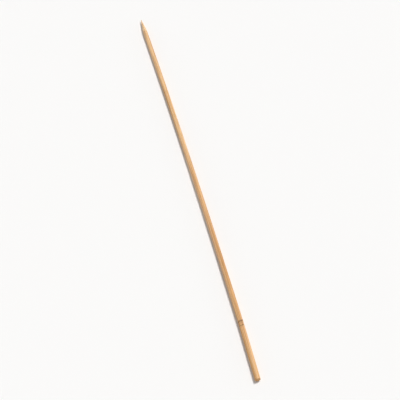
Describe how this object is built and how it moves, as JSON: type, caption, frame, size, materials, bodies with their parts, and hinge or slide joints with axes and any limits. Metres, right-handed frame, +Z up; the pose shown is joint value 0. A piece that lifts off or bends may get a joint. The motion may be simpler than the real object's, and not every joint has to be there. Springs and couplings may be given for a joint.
{
  "type": "bamboo skewer",
  "caption": "Thin round bamboo stick with a sawn blunt butt and a long ground point, for threading and holding food on a grill or a plate.",
  "frame": {"origin": "middle of the underside of the stick's box, on the table that it lies on, with its bow to one side", "axes": "+Y along the stick from its butt to its point, +Z up from the table, +X to the side that the stick bows towards"},
  "size_m": [0.0046, 0.3, 0.0031],
  "materials": {
    "bamboo": "matte"
  },
  "bodies": {
    "root": {"skewer": "bamboo"}
  },
  "joints": []
}
